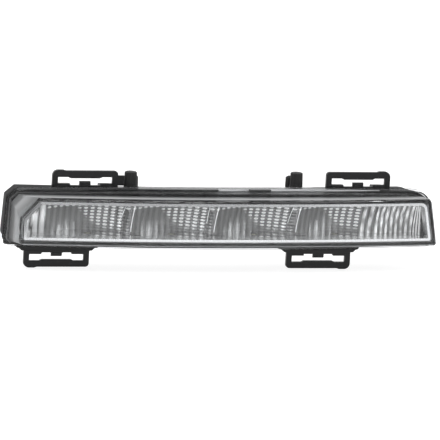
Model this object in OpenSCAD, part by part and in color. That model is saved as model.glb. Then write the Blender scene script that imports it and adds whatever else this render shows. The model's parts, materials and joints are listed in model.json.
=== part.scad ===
// Daytime running light for a car bumper, left-hand bar lamp with four reflector bowls.
// X runs along the lamp, Y runs from the lens (negative) to the back, Z is up.
// Depths are measured on the lamp's mid plane; the whole lamp bows on one plan curve.

/* [Plan curve] */
// Radius in plan of the surface where the lens flange meets the housing
plan_radius = 1300; // [1000:10:4000]

/* [Lens flange] */
// Length of the flange along its foot
flange_length = 325; // [315:1:335]
// Height of the flange edge above the axis of the lamp
flange_top = 25.6; // [25:0.1:27]
// Depth of the flange edge below the axis of the lamp
flange_bottom = 19.9; // [19.5:0.1:21]
// Drop of the top edge at both ends
top_drop = 2.0; // [1:0.1:2.4]
// Rise of the bottom edge at both ends
bottom_rise = 1.0; // [0.4:0.1:1.3]
// Half of the straight middle stretch of the long edges
crown_half = 65; // [40:1:90]
// Lean of the left end edge over its height
left_lean = 2; // [1:0.1:3]
// Lean of the right end edge over its height
right_lean = 5.3; // [4.5:0.1:6]
// Width of the cut corner at the top left
corner_w = 7.8; // [6.5:0.1:9]
// Height of the cut corner at the top left
corner_h = 7.1; // [6:0.1:9]
// Radius of the two bottom corners of the flange
flange_foot_r = 6; // [4:0.5:8]
// Radius of the top right corner of the flange
flange_nose_r = 18; // [14:0.5:20]
// Thickness of the flange
flange_t = 2.2; // [1.8:0.1:3]

/* [Lens cover] */
// Depth of the lens from its face to the back of the flange
lens_depth = 18; // [16:0.5:20]
// Thickness of the clear walls
lens_wall = 2.5; // [2:0.1:3]
// Height of the top wall above the axis
lens_top = 18.7; // [18:0.1:19.4]
// Depth of the bottom wall below the axis
lens_bottom = 15.4; // [15:0.1:16]
// Width of the slanted facet on the lens face
facet_w = 12.7; // [10:0.1:15]
// Height of the slanted facet on the lens face
facet_h = 14.9; // [12:0.1:17]
// Width of the slanted facet where it meets the flange
facet_root_w = 4.6; // [3:0.1:6]
// Gap from the flange edge to the root of the left wall
left_set = 3.9; // [3.5:0.1:5]
// Gap from the flange edge to the root of the right wall
right_set = 3.3; // [3:0.1:4.5]
// How far the left wall runs inward from its root to the face
left_slope = 5.6; // [3:0.1:8]
// How far the right wall runs inward from its root to the face
right_slope = 0.6; // [0.2:0.1:2]
// Radius of the face corners
face_r = 1.6; // [1:0.1:3]
// Radius of the top right corner at the root
root_r = 8; // [6:0.5:10]
// Length of the tongue that stands in the sealing channel
tongue_l = 3.2; // [2.5:0.1:3.4]
// Thickness of the tongue
tongue_t = 1.4; // [1:0.1:1.5]

/* [Housing] */
// Set-back of the housing rim from the flange edge at the ends and foot
rim_back = 0.6; // [0.3:0.1:1]
// Set-back of the housing rim from the flange edge along the top
rim_back_top = 1.9; // [1.5:0.1:2.2]
// Thickness of the outer wall of the sealing channel
channel_wall = 1.5; // [1.2:0.1:1.8]
// Width of the sealing channel
channel_w = 2.0; // [1.9:0.1:2.3]
// Thickness of the inner lip of the sealing channel
lip_t = 1.6; // [1.2:0.1:1.8]
// Depth of the sealing channel
channel_d = 4.3; // [4:0.1:5]
// Thickness of the floor of the sealing channel
channel_floor = 1.5; // [1.2:0.1:2]
// Height of the tub roof above the axis
tub_top = 20.4; // [20.2:0.1:20.8]
// Depth of the tub floor below the axis
tub_bottom = 17.4; // [17.2:0.1:17.8]
// Set-in of the tub ends from the flange ends
tub_in = 2.1; // [1.6:0.1:2.6]
// Thickness of the tub walls
tub_wall = 2.2; // [1.8:0.1:2.4]
// Depth from the flange to the back of the tub
tub_depth = 29.7; // [29:0.1:33]
// How far each tub end closes in over the depth of the tub
tub_draft = 2.5; // [1:0.5:3]
// Number of stiffening ribs on the back of the tub
rib_count = 9; // [5:1:12]

/* [Reflector] */
// Number of reflector bowls
bowl_count = 4; // [3:1:5]
// Width of one bowl
bowl_pitch = 62.3; // [60:0.1:63]
// Place of the middle of the row of bowls
bowl_middle = -6.5; // [-7.5:0.1:-5]
// Focal length of the bowls
focal = 16; // [15:0.5:20]
// Depth of the deepest point of the bowls
bowl_deep = 24; // [23:0.1:24.2]
// Depth of the front edge of the reflector
reflector_front = -3; // [-3.4:0.1:-2]
// Height of the top of the bowls above the axis
bowl_top = 14.6; // [13.5:0.1:14.8]
// Thickness of the reflector shell
shell_t = 1.2; // [1:0.1:1.3]
// Number of vertical flutes in one bowl
bowl_flutes = 13; // [10:1:15]
// Depth of the flutes
flute_d = 0.55; // [0.2:0.05:0.8]
// Number of flutes on the left wing
left_flutes = 4; // [3:1:5]
// Width of one flute on the left wing
left_flute_w = 4.9; // [4:0.1:5]
// Number of flutes on the right wing
right_flutes = 10; // [8:1:10]
// Width of one flute on the right wing
right_flute_w = 4.1; // [3.6:0.1:4.1]
// Side of the square port over each light source
port_w = 5.4; // [4.6:0.1:7]

/* [Bezel] */
// Width of the bezel frame seen from the front
bezel_w = 2.0; // [1.5:0.1:2.6]
// Depth of the front edge of the bezel
bezel_front = -14.2; // [-14.6:0.1:-12]
// Gap between the bezel and the lens walls
bezel_gap = 0.5; // [0.4:0.1:0.8]
// Corner radius of the bezel at the top of its right end
bezel_nose_r = 5.5; // [5:0.5:7]

/* [Light sources and boards] */
// Thickness of the boards
board_t = 1.2; // [1:0.1:1.3]
// Width of the light source board
board_w = 12.4; // [11:0.1:13]
// Thickness of the heat pad under the board
pad_t = 0.3; // [0.2:0.1:0.4]
// Side of one light source package
led_w = 3.5; // [3:0.1:4]
// Radius of the clear dome on each package
led_dome_r = 1.3; // [1:0.1:1.4]
// Place of the middle of the driver board along the lamp
driver_x = 136; // [135:0.1:136.5]
// Width of the driver board
driver_w = 26; // [24:0.5:27]
// Height of the driver board
driver_h = 24; // [22:0.5:25]

/* [Heat sink] */
// Thickness of the shelf under the light source board
shelf_t = 1.8; // [1.5:0.1:1.9]
// Left end of the heat sink plate
sink_left = -122; // [-126:1:-116]
// Right end of the heat sink plate
sink_right = 112; // [108:1:114]
// Height of the heat sink plate above the axis
sink_top = 4; // [2:0.5:8]
// Thickness of the heat sink plate
sink_t = 2.6; // [2:0.1:3.5]
// Length of the fins
fin_l = 12; // [8:0.5:16]
// Thickness of one fin
fin_t = 1.6; // [1.2:0.1:2]
// Spacing of the fins
fin_pitch = 8.2; // [7:0.1:12]
// Thickness of the gaskets
gasket_t = 0.6; // [0.4:0.1:1]

/* [Snap frames] */
// Width of the foot of the upper frames
upper_foot_w = 46; // [44:0.5:47]
// Width of the foot of the lower frames
lower_foot_w = 60; // [56:0.5:61]
// Height of the foot of the upper frames
upper_foot_h = 4.4; // [4.2:0.1:4.6]
// Height of the foot of the lower frames
lower_foot_h = 6.8; // [6:0.1:7.2]
// Depth of the feet from front to back
foot_d = 8.4; // [8:0.1:10]
// Width of the loops
loop_w = 48.5; // [47:0.5:50]
// Height of the upper loops above their feet
upper_loop_h = 10; // [9.8:0.1:11]
// Height of the lower loops above their feet
lower_loop_h = 12; // [11:0.1:13]
// Thickness of the loop plate
loop_t = 3; // [2.5:0.1:3.4]
// Width of the side bars of the loop
side_bar = 4.1; // [3.5:0.1:5]
// Height of the outer bar of the loop
outer_bar = 4.6; // [4.2:0.1:4.8]
// Width of the snap tongue
snap_w = 8.2; // [7:0.1:9]
// Middle of the upper left frame
upper_left_x = -102.2; // [-103:0.1:-101]
// Middle of the upper right frame
upper_right_x = 102.9; // [101:0.1:105]
// Middle of the lower left frame
lower_left_x = -120.4; // [-121:0.1:-119]
// Middle of the lower right frame
lower_right_x = 75; // [72:0.1:78]

/* [Breathers] */
// Place of the left breather
left_vent_x = -68.6; // [-69:0.1:-67]
// Place of the right breather
right_vent_x = 56.1; // [54:0.1:58]
// Outer diameter of the breather sleeve
sleeve_d = 8.7; // [8.2:0.1:9]
// Height of the breather above the tub roof
sleeve_h = 14.2; // [13:0.1:16]
// Outer diameter of the spigot on the housing
spigot_d = 5.6; // [5:0.1:6]
// Bore of the spigot
spigot_bore = 3; // [2:0.1:3.4]

/* [Connector] */
// Width of the connector socket
socket_w = 24; // [22:0.5:25]
// Height of the connector socket
socket_h = 14.6; // [14:0.1:16]
// Depth of the connector socket
socket_l = 15; // [13:0.5:18]
// Wall of the connector socket
socket_wall = 1.8; // [1.5:0.1:2]

/* [Hidden] */
clear = 0.2;
reach = 60;
arc_fn = 360;
round_fn = 48;
corner_steps = 6;
half_len = flange_length / 2;
end_top = flange_top - top_drop;
end_bottom = flange_bottom - bottom_rise;
rear_in = tub_depth - tub_wall;

// Plane geometry of outlines, counter-clockwise as seen from the front
function unit(v) = v / norm(v);
function left(v) = [-v[1], v[0]];
function turn(v, a) = [v[0] * cos(a) - v[1] * sin(a), v[0] * sin(a) + v[1] * cos(a)];
function cross2(u, w) = u[0] * w[1] - u[1] * w[0];
function meet(p, u, q, w) = p + u * (cross2(q - p, w) / cross2(u, w));
function each_edge(d, i) = is_list(d) ? d[i] : d;
function inset(pts, d) = [
  for (i = [0:len(pts) - 1])
    let (
      n = len(pts),
      before = (i + n - 1) % n,
      u = unit(pts[i] - pts[before]),
      w = unit(pts[(i + 1) % n] - pts[i])
    )
    meet(pts[i] + left(u) * each_edge(d, before), u, pts[i] + left(w) * each_edge(d, i), w)
];
function rounded(pts, radii) = [
  for (i = [0:len(pts) - 1])
    let (
      n = len(pts),
      r = radii[i],
      u = unit(pts[i] - pts[(i + n - 1) % n]),
      w = unit(pts[(i + 1) % n] - pts[i]),
      bend = atan2(cross2(u, w), u * w),
      hub = pts[i] - u * r * tan(bend / 2) + left(u) * r
    )
    for (k = [0:r > 0 ? corner_steps : 0])
      r > 0 ? hub + turn(-left(u) * r, bend * k / corner_steps) : pts[i]
];
function shrink(radii, d) = [for (r = radii) r > 0 ? max(r - d, 0.5) : 0];

// Outline of the lens flange, its corner radii and the housing rim behind it
flange_pts = [
  [-half_len, -end_bottom], [-crown_half, -flange_bottom], [crown_half, -flange_bottom],
  [half_len, -end_bottom], [half_len - right_lean, end_top], [crown_half, flange_top],
  [-crown_half, flange_top], [-half_len + left_lean + corner_w, end_top],
  [-half_len + left_lean, end_top - corner_h]
];
flange_radii = [flange_foot_r, 0, 0, flange_foot_r, flange_nose_r, 0, 0, 2, 3];
rim_insets = [
  rim_back, rim_back, rim_back, rim_back, rim_back_top, rim_back_top, rim_back_top,
  rim_back, rim_back
];
rim_pts = inset(flange_pts, rim_insets);
function rim_at(d) = rounded(inset(rim_pts, d), shrink(flange_radii, rim_back + d));
channel_in = channel_wall + channel_w;
lip_in = channel_in + lip_t;

// Outline of the lens walls at the face and at the root
root_lean = left_lean - 0.5;
lens_root_pts = [
  [-half_len + left_set, -lens_bottom], [half_len - right_set, -lens_bottom],
  [half_len - right_set - right_lean - 0.5, lens_top],
  [-half_len + left_set + root_lean + facet_root_w, lens_top],
  [-half_len + left_set + root_lean, lens_top - facet_root_w * facet_h / facet_w]
];
lens_face_pts = [
  [-half_len + left_set + left_slope, -lens_bottom],
  [half_len - right_set - right_slope, -lens_bottom],
  [half_len - right_set - right_slope - right_lean - 0.5, lens_top],
  [-half_len + left_set + left_slope + facet_w, lens_top],
  [-half_len + left_set + left_slope, lens_top - facet_h]
];
lens_root_radii = [3, 3, root_r, 2, 2];
lens_face_radii = [face_r, face_r, face_r, 1, 1];
end_sag = plan_radius - sqrt(plan_radius * plan_radius - half_len * half_len);

// Outline of the tub, with its cut corner at the top left
tub_cut_w = 7;
tub_cut_h = 6.2;
function tub_pts(k) = [
  [-half_len + tub_in + k, -tub_bottom], [half_len - tub_in - k, -tub_bottom],
  [half_len - tub_in - right_lean - k, tub_top],
  [-half_len + tub_in + left_lean + tub_cut_w + k, tub_top],
  [-half_len + tub_in + left_lean + k, tub_top - tub_cut_h]
];
tub_radii = [4, 4, 15, 2, 2];

// Places worked out from the outlines
shelf_z = -tub_bottom + tub_wall + clear;
pad_z = shelf_z + shelf_t;
board_z = pad_z + pad_t;
board_top = board_z + board_t;
floor_z = board_top + clear;
bowl_z = floor_z + shell_t;
led_y = bowl_deep - focal;
rim_end = channel_d + channel_floor;
board_front = 1.6;
tail_w = 14;
tail_x = driver_x - tail_w / 2;
driver_y = rear_in - 3;
sink_y = tub_depth + gasket_t;
socket_seat = sink_y + pow(socket_w / 2 + 3, 2) / (2 * (plan_radius - sink_y)) + 0.06;
vent_y = 12.6;
boss_d = 6.4;
screw_d = 2.9;
lug_z = -3;
lug_y = 8;
ear_reach = 2.8;
ear_boss_d = 5;
ear_t = 2.4;
wing_slope = 0.1;
corner_clear = 9.5;
roof_fall_w = 6;
roof_fall = 0.5;
flute_steps = 3;
bowl_rows = 7;
back_rows = 3;
wing_left = bowl_middle - bowl_count / 2 * bowl_pitch;
wing_right = bowl_middle + bowl_count / 2 * bowl_pitch;
reflector_left = wing_left - left_flutes * left_flute_w;
flute_switch = wing_right - 2 * bowl_pitch / bowl_flutes;
reflector_right = flute_switch + right_flutes * right_flute_w;
ridge_y = bowl_deep - pow(bowl_pitch / 2, 2) / (4 * focal);

// Turns a piece modelled at the middle of the lamp to its place on the plan curve
module on_arc(x) {
  translate([0, plan_radius, 0])
    rotate([0, 0, asin(x / plan_radius)])
      translate([0, -plan_radius, 0])
        children();
}

// A strip that follows the plan curve from x0 to x1, between two depths and two heights
module strip(x0, x1, y0, y1, z0, z1) {
  a0 = asin(x0 / plan_radius);
  a1 = asin(x1 / plan_radius);
  translate([0, plan_radius, 0])
    rotate([0, 0, -90 + a0])
      rotate_extrude(angle = a1 - a0, $fn = arc_fn)
        translate([plan_radius - y1, z0])
          square([y1 - y0, z1 - z0]);
}

// The whole space between two depths
module slab(y0, y1) {
  strip(-half_len - 12, half_len + 12, y0, y1, -reach, reach);
}

// A flat outline pushed straight through the lamp from front to back
module facing(y0, y1) {
  translate([0, y1, 0])
    rotate([90, 0, 0])
      linear_extrude(y1 - y0)
        children();
}

// The part of an outline that lies between two depths of the plan curve
module plate(pts, y0, y1) {
  intersection() {
    facing(-reach, reach) polygon(pts);
    slab(y0, y1);
  }
}

module ring(outer, inner, y0, y1) {
  intersection() {
    facing(-reach, reach)
      difference() {
        polygon(outer);
        polygon(inner);
      }
    slab(y0, y1);
  }
}

// A closed body between two matching outlines, one in front and one behind
module loft(front, y0, back, y1) {
  n = len(front);
  polyhedron(
    points = concat([for (p = front) [p[0], y0, p[1]]], [for (p = back) [p[0], y1, p[1]]]),
    faces = concat(
      [[for (i = [n - 1:-1:0]) i], [for (i = [n:2 * n - 1]) i]],
      [for (i = [0:n - 1]) [i, (i + 1) % n, n + (i + 1) % n, n + i]]
    )
  );
}

// Continues the straight walls between two outlines to another depth
function carry(front, back, s) = [for (i = [0:len(front) - 1]) front[i] + (back[i] - front[i]) * s];

// The tapered body of the lens, set in by d: from a plane ahead of the face to one behind the root
module lens_body(d) {
  face = inset(lens_face_pts, d);
  root = inset(lens_root_pts, d);
  front_y = -lens_depth - 1;
  back_y = end_sag + 3;
  face_y = end_sag - lens_depth;
  ahead = (front_y - face_y) / lens_depth;
  behind = (back_y - face_y) / lens_depth;
  loft(
    rounded(carry(face, root, ahead), shrink(lens_face_radii, d / 3)), front_y,
    rounded(carry(face, root, behind), shrink(lens_root_radii, d / 3)), back_y
  );
}

module lens_hollow() {
  intersection() {
    lens_body(lens_wall);
    slab(-lens_depth + lens_wall, 0.8);
  }
}

module lens_cover() {
  color("whitesmoke", 0.4) {
    difference() {
      intersection() {
        lens_body(0);
        slab(-lens_depth, -flange_t / 2);
      }
      lens_hollow();
    }
    difference() {
      plate(rounded(flange_pts, flange_radii), -flange_t, 0);
      lens_hollow();
    }
    ring(
      rim_at(channel_wall + (channel_w - tongue_t) / 2),
      rim_at(channel_wall + (channel_w + tongue_t) / 2), -0.5, tongue_l
    );
  }
}

module lens_seal() {
  color("dimgray")
    ring(rim_at(channel_wall), rim_at(channel_in), tongue_l, channel_d);
}

// Each snap frame: middle, 1 above or -1 below, way of its bump end, foot width, foot and loop height
clips = [
  [upper_left_x, 1, -1, upper_foot_w, upper_foot_h, upper_loop_h],
  [upper_right_x, 1, 1, upper_foot_w, upper_foot_h, upper_loop_h],
  [lower_left_x, -1, -1, lower_foot_w, lower_foot_h, lower_loop_h],
  [lower_right_x, -1, 1, lower_foot_w, lower_foot_h, lower_loop_h]
];

// The frames all face the same way, each just clear of the back of the rim at its outer end
function clip_front(clip) = plan_radius + 0.3
  - sqrt(pow(plan_radius - rim_end, 2) - pow(abs(clip[0]) + clip[3] / 2, 2));
module at_clip(clip) {
  translate([clip[0], clip_front(clip) + foot_d / 2, clip[1] > 0 ? tub_top : -tub_bottom])
    mirror([0, 0, clip[1] > 0 ? 0 : 1])
      mirror([clip[2] > 0 ? 1 : 0, 0, 0])
        children();
}

// Shallow cuts in the top of the rim; a tab is left standing between them
rim_cuts = [[-6, 17.6], [33.4, 118]];
rim_cut_h = 3.6;

// The T-shaped rails each snap frame slides on: two short ones, with room for the tongue between
rail_gap = 12;
module rails(clip, grow) {
  l = clip[3] / 2 - 2 - rail_gap;
  for (side = [0, 1])
    mirror([side, 0, 0]) {
      translate([rail_gap - grow, -1.5 - grow, -0.5])
        cube([l + 2 * grow, 3 + 2 * grow, 2.4]);
      translate([rail_gap - grow, -3 - grow, 1.7 - grow])
        cube([l + 2 * grow, 6 + 2 * grow, 1.4 + 2 * grow]);
    }
}

// Screw places: heat sink corners and middle, driver board, reflector ears
sink_screws = [
  for (x = [sink_left + 5, (sink_left + sink_right) / 2, sink_right - 5]) [x, 0, sink_top - 4]
];
driver_screws_at = [
  for (i = [-1, 1]) [driver_x, i * (driver_w / 2 - 3.2), -i * (driver_h / 2 - 3.2)]
];
ears = [[reflector_left, -ear_reach, lug_z], [reflector_right, ear_reach, lug_z]];

// Bosses and holes stand along the depth at a place: where on the curve, offset, height
module boss(at, y0, y1, d) {
  on_arc(at[0])
    translate([at[1], y1, at[2]])
      rotate([90, 0, 0])
        cylinder(d = d, h = y1 - y0, $fn = round_fn);
}

module housing() {
  tub_front = rounded(tub_pts(0), tub_radii);
  tub_back = rounded(tub_pts(tub_draft), tub_radii);
  hollow_front = rounded(inset(tub_pts(0), tub_wall), shrink(tub_radii, tub_wall));
  hollow_back = rounded(inset(tub_pts(tub_draft), tub_wall), shrink(tub_radii, tub_wall));
  back_y = tub_depth + end_sag + 2;
  color([0.16, 0.16, 0.17])
    difference() {
      union() {
        difference() {
          union() {
            ring(rim_at(0), rim_at(lip_in), 0, rim_end);
            intersection() {
              loft(tub_front, 0, tub_back, back_y);
              slab(rim_end - 0.6, tub_depth);
            }
          }
          intersection() {
            loft(hollow_front, -1, hollow_back, back_y);
            slab(rim_end, rear_in);
          }
          plate(rim_at(lip_in), -2, rim_end + 0.01);
        }
        for (clip = clips) at_clip(clip) rails(clip, 0);
        for (x = [left_vent_x, right_vent_x])
          on_arc(x) translate([0, vent_y, tub_top - 0.5])
            cylinder(d = spigot_d, h = 5.5, $fn = round_fn);
        for (s = sink_screws) boss(s, rear_in - 5, rear_in + 0.5, boss_d);
        for (s = driver_screws_at) boss(s, driver_y + board_t, rear_in + 0.5, boss_d);
        for (s = ears) boss(s, lug_y + ear_t, rear_in + 0.5, ear_boss_d);
        for (i = [1:rib_count])
          on_arc(sink_left + i * (sink_right - sink_left) / (rib_count + 1))
            translate([-0.8, tub_depth - 0.5, sink_top + 2])
              cube([1.6, 3, tub_top - sink_top - 4]);
      }
      ring(rim_at(channel_wall), rim_at(channel_in), -1, channel_d);
      for (cut = rim_cuts)
        strip(cut[0], cut[1], -1, 3, flange_top - rim_cut_h, reach);
      strip(
        sink_left + 4, sink_right - 4, rear_in - 1, tub_depth + 1,
        -tub_bottom + tub_wall, bowl_z
      );
      on_arc(driver_x) translate([-7, rear_in - 1, -3])
        cube([14, tub_wall + 2, 6]);
      for (x = [left_vent_x, right_vent_x])
        on_arc(x) translate([0, vent_y, tub_top - tub_wall - 1])
          cylinder(d = spigot_bore, h = 20, $fn = round_fn);
      for (s = sink_screws) boss(s, rear_in - 4, tub_depth + 1, screw_d);
      for (s = driver_screws_at) boss(s, driver_y, rear_in + 1, screw_d * 0.7);
      for (s = ears) boss(s, lug_y, rear_in - 6, screw_d * 0.7);
    }
}

function bezel_at(d) = rounded(
  inset(lens_face_pts, lens_wall + bezel_gap + d),
  shrink([face_r, face_r, bezel_nose_r, 1, 1], (bezel_gap + d) / 2)
);
module bezel() {
  color("silver")
    ring(bezel_at(0), bezel_at(bezel_w), bezel_front, reflector_front - clear);
}

// Reflector surface: depth of the bowls over a place x and a height z above the focus
function bowl_of(x) = min(floor((x - wing_left) / bowl_pitch), bowl_count - 1);
function bowl_x(i) = bowl_middle + (i + 0.5 - bowl_count / 2) * bowl_pitch;
function smooth_y(x, z) = x < wing_left
  ? ridge_y - z * z / (4 * focal) + (wing_left - x) * wing_slope
  : x > wing_right
  ? ridge_y - z * z / (4 * focal) + (x - wing_right) * wing_slope
  : bowl_deep - (z * z + pow(x - bowl_x(bowl_of(x)), 2)) / (4 * focal);

// The columns of the shell: places along the lamp, three to a flute, and how far each stands out
function run(from, count, w) = [
  for (i = [0:count * flute_steps - 1])
    [from + i * w / flute_steps, flute_d * sin(180 * (i % flute_steps) / flute_steps)]
];
columns = concat(
  run(reflector_left, left_flutes, left_flute_w),
  run(wing_left, bowl_count * bowl_flutes - 2, bowl_pitch / bowl_flutes),
  run(flute_switch, right_flutes, right_flute_w),
  [[reflector_right, 0]]
);

// The roof falls toward the left end, under the slanted facet of the lens, and a little at the
// right end, under the rounded corner of the tub
function roof_z(x) = min(
  bowl_top,
  bowl_top - (wing_left - corner_clear - x) * facet_h / facet_w,
  bowl_top - (x - reflector_right + roof_fall_w) * roof_fall
);

// Closed outline of the shell at one column: floor, bowl, roof and back
function section(x, out) = let (rise = roof_z(x) - bowl_z) concat(
  [[reflector_front, bowl_z]],
  [for (k = [0:bowl_rows]) let (z = rise * k / bowl_rows) [smooth_y(x, z) - out, bowl_z + z]],
  [[reflector_front, roof_z(x)], [reflector_front, roof_z(x) + shell_t]],
  [
    for (k = [back_rows:-1:0])
      let (z = rise * k / back_rows)
      [
        smooth_y(x, z) + shell_t,
        bowl_z + z + (k == back_rows ? shell_t : k == 0 ? -shell_t : 0)
      ]
  ],
  [[reflector_front, bowl_z - shell_t]]
);
function bent(x, p) = let (a = asin(x / plan_radius), r = plan_radius - p[0])
  [r * sin(a), plan_radius - r * cos(a), p[1]];

module reflector_shell() {
  n = len(section(0, 0));
  last = len(columns) - 1;
  polyhedron(
    points = [for (c = columns) for (p = section(c[0], c[1])) bent(c[0], p)],
    faces = concat(
      [[for (k = [n - 1:-1:0]) k], [for (k = [0:n - 1]) last * n + k]],
      [
        for (i = [0:last - 1])
          for (k = [0:n - 1])
            let (a = i * n + k, b = i * n + (k + 1) % n)
            for (face = [[a, b + n, a + n], [a, b, b + n]])
              face
      ]
    )
  );
}

// A plate or hole with round ends or corners, standing along the height or the depth
module rounded_bar(w, d, h, r) {
  hull()
    for (x = [-w / 2 + r, w / 2 - r], y = [-d / 2 + r, d / 2 - r])
      translate([x, y, 0])
        cylinder(r = r, h = h, $fn = 16);
}

// A screw ear that stands out of one end of the shell
module ear(x, way) {
  on_arc(x)
    hull() {
      translate([way > 0 ? -0.4 : -0.6, lug_y, lug_z - 4])
        cube([1, ear_t, 8]);
      for (z = [-1.6, 1.6])
        translate([way * (ear_reach + 0.4), lug_y + ear_t, lug_z + z])
          rotate([90, 0, 0])
            cylinder(r = 2.4, h = ear_t, $fn = 16);
    }
}

module reflector() {
  color("gainsboro")
    difference() {
      union() {
        reflector_shell();
        ear(reflector_left, -1);
        ear(reflector_right, 1);
      }
      for (i = [0:bowl_count - 1])
        on_arc(bowl_x(i))
          translate([0, led_y, floor_z - 1])
            rounded_bar(port_w, port_w, shell_t + 2, 0.8);
      for (i = [1:bowl_count - 1])
        on_arc(bowl_x(i) - bowl_pitch / 2)
          translate([0, reflector_front + 4, floor_z - 1])
            rounded_bar(14, 2.4, shell_t + 2, 1);
      for (s = ears) boss(s, lug_y - 1, lug_y + ear_t + 1, screw_d + 0.4);
    }
}

// A pan-head screw pointing along +Y with its head's seat at the origin
module screw(l, d) {
  rotate([90, 0, 0]) {
    difference() {
      cylinder(d = d * 1.9, h = d * 0.65, $fn = round_fn);
      translate([0, 0, d * 0.3])
        cylinder(d = d * 0.9, h = d, $fn = 6);
    }
    translate([0, 0, -l])
      cylinder(d = d, h = l + 0.1, $fn = round_fn);
  }
}

module reflector_screws() {
  color("silver")
    for (s = ears)
      on_arc(s[0]) translate([s[1], lug_y, s[2]]) screw(8, screw_d * 0.7);
}

board_left = sink_left + 6;
pin_places = [-4.5, -1.5, 1.5, 4.5];
module led_board() {
  color("white")
    difference() {
      union() {
        strip(board_left, tail_x + tail_w / 2, board_front, board_front + board_w, board_z, board_top);
        strip(
          tail_x - tail_w / 2, tail_x + tail_w / 2, board_front, driver_y - clear, board_z, board_top
        );
      }
      for (i = [0:bowl_count - 2])
        on_arc(bowl_x(i) + bowl_pitch / 2) translate([0, led_y, board_z - 1])
          cylinder(d = 3, h = board_t + 2, $fn = round_fn);
    }
}

module led(i) {
  on_arc(bowl_x(i)) translate([0, led_y, board_top]) {
    color("ivory")
      translate([-led_w / 2, -led_w / 2, 0])
        cube([led_w, led_w, 0.6]);
    color("gold")
      intersection() {
        translate([0, 0, 0.2])
          sphere(r = led_dome_r, $fn = round_fn);
        translate([-2, -2, 0.4])
          cube([4, 4, 0.9]);
      }
  }
}

module heat_pad() {
  color("lightblue")
    strip(board_left + 2, sink_right - 8, rim_end + 0.6, board_front + board_w, pad_z, board_z);
}

module heat_sink() {
  fins = floor((sink_right - sink_left - 14) / fin_pitch);
  color("darkgray")
    difference() {
      union() {
        strip(sink_left + 6, sink_right - 6, rim_end + 0.4, sink_y + 1, shelf_z, pad_z);
        strip(sink_left, sink_right, sink_y, sink_y + sink_t, -tub_bottom, sink_top);
        for (i = [0:fins])
          on_arc((sink_left + sink_right) / 2 + (i - fins / 2) * fin_pitch)
            translate([-fin_t / 2, sink_y + 0.5, -tub_bottom + 0.6])
              cube([fin_t, sink_t + fin_l - 0.5, sink_top + tub_bottom - 9]);
      }
      for (s = sink_screws) boss(s, sink_y - 1, sink_y + sink_t + 1, screw_d + 0.4);
    }
}

module heat_sink_gasket() {
  color([0.12, 0.12, 0.12])
    difference() {
      strip(sink_left, sink_right, tub_depth, sink_y, -tub_bottom, sink_top);
      strip(
        sink_left + 3.4, sink_right - 3.4, tub_depth - 1, sink_y + 1,
        -tub_bottom + tub_wall - 0.4, bowl_z + 0.6
      );
      for (s = sink_screws) boss(s, tub_depth - 1, sink_y + 1, screw_d + 0.4);
    }
}

module heat_sink_screws() {
  color("silver")
    for (s = sink_screws)
      on_arc(s[0]) translate([0, sink_y + sink_t, s[2]])
        rotate([0, 0, 180]) screw(gasket_t + sink_t + 5, screw_d - 0.1);
}

module driver_board() {
  color("darkgreen")
    difference() {
      on_arc(driver_x) translate([-driver_w / 2, driver_y, -driver_h / 2])
        cube([driver_w, board_t, driver_h]);
      for (s = driver_screws_at) boss(s, driver_y - 1, driver_y + 3, screw_d);
      on_arc(driver_x)
        for (x = pin_places)
          translate([x - 0.5, driver_y - 1, -0.5])
            cube([1, 4, 1]);
    }
}

module driver_screws() {
  color("silver")
    for (s = driver_screws_at)
      on_arc(s[0]) translate([s[1], driver_y, s[2]]) screw(4, screw_d * 0.7);
}

module choke_coil() {
  color("saddlebrown")
    on_arc(driver_x) translate([6, driver_y, 6])
      rotate([90, 0, 0]) {
        cylinder(d = 9, h = 1.2, $fn = round_fn);
        cylinder(d = 6.4, h = 5.4, $fn = round_fn);
        translate([0, 0, 4.4])
          cylinder(d = 9, h = 1.2, $fn = round_fn);
      }
}

module capacitor(x, z) {
  color("slategray")
    on_arc(driver_x) translate([x, driver_y, z])
      rotate([90, 0, 0]) {
        cylinder(d = 6.3, h = 7.7, $fn = round_fn);
        translate([-3.3, -3.3, 0])
          cube([6.6, 6.6, 1.2]);
      }
}

module driver_chip() {
  color([0.1, 0.1, 0.1])
    on_arc(driver_x) translate([-11.6, driver_y - 1.4, -2.8])
      cube([6, 1.4, 5.6]);
}

module board_header() {
  color("black")
    on_arc(driver_x) translate([-tail_w / 2 - 5, driver_y - 2.6, board_top])
      cube([10, 2.6, 2.8]);
}

module connector_socket() {
  body_y = socket_seat;
  color([0.14, 0.14, 0.15])
    on_arc(driver_x) {
      difference() {
        union() {
          translate([-socket_w / 2, body_y, -socket_h / 2])
            cube([socket_w, socket_l, socket_h]);
          translate([-socket_w / 2 - 3, body_y, -socket_h / 2 - 2])
            cube([socket_w + 6, 2, socket_h + 4]);
          translate([-3, body_y + 4, socket_h / 2 - 0.5])
            cube([6, 7, 2.2]);
        }
        translate([-socket_w / 2 + socket_wall, body_y + 3, -socket_h / 2 + socket_wall])
          cube([socket_w - 2 * socket_wall, socket_l, socket_h - 2 * socket_wall]);
        for (x = pin_places)
          translate([x - 0.35, body_y - 1, -0.35])
            cube([0.7, 6, 0.7]);
      }
    }
}

module connector_gasket() {
  color([0.12, 0.12, 0.12])
    difference() {
      strip(
        driver_x - socket_w / 2 - 3, driver_x + socket_w / 2 + 3, tub_depth, sink_y,
        -socket_h / 2 - 2, socket_h / 2 + 2
      );
      on_arc(driver_x) translate([-8, tub_depth - 1, -4])
        cube([16, gasket_t + 2, 8]);
    }
}

module terminals() {
  color("goldenrod")
    on_arc(driver_x)
      for (x = pin_places)
        translate([x - 0.3, driver_y - 0.8, -0.3])
          cube([0.6, tub_depth + socket_l - driver_y - 4, 0.6]);
}

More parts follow.
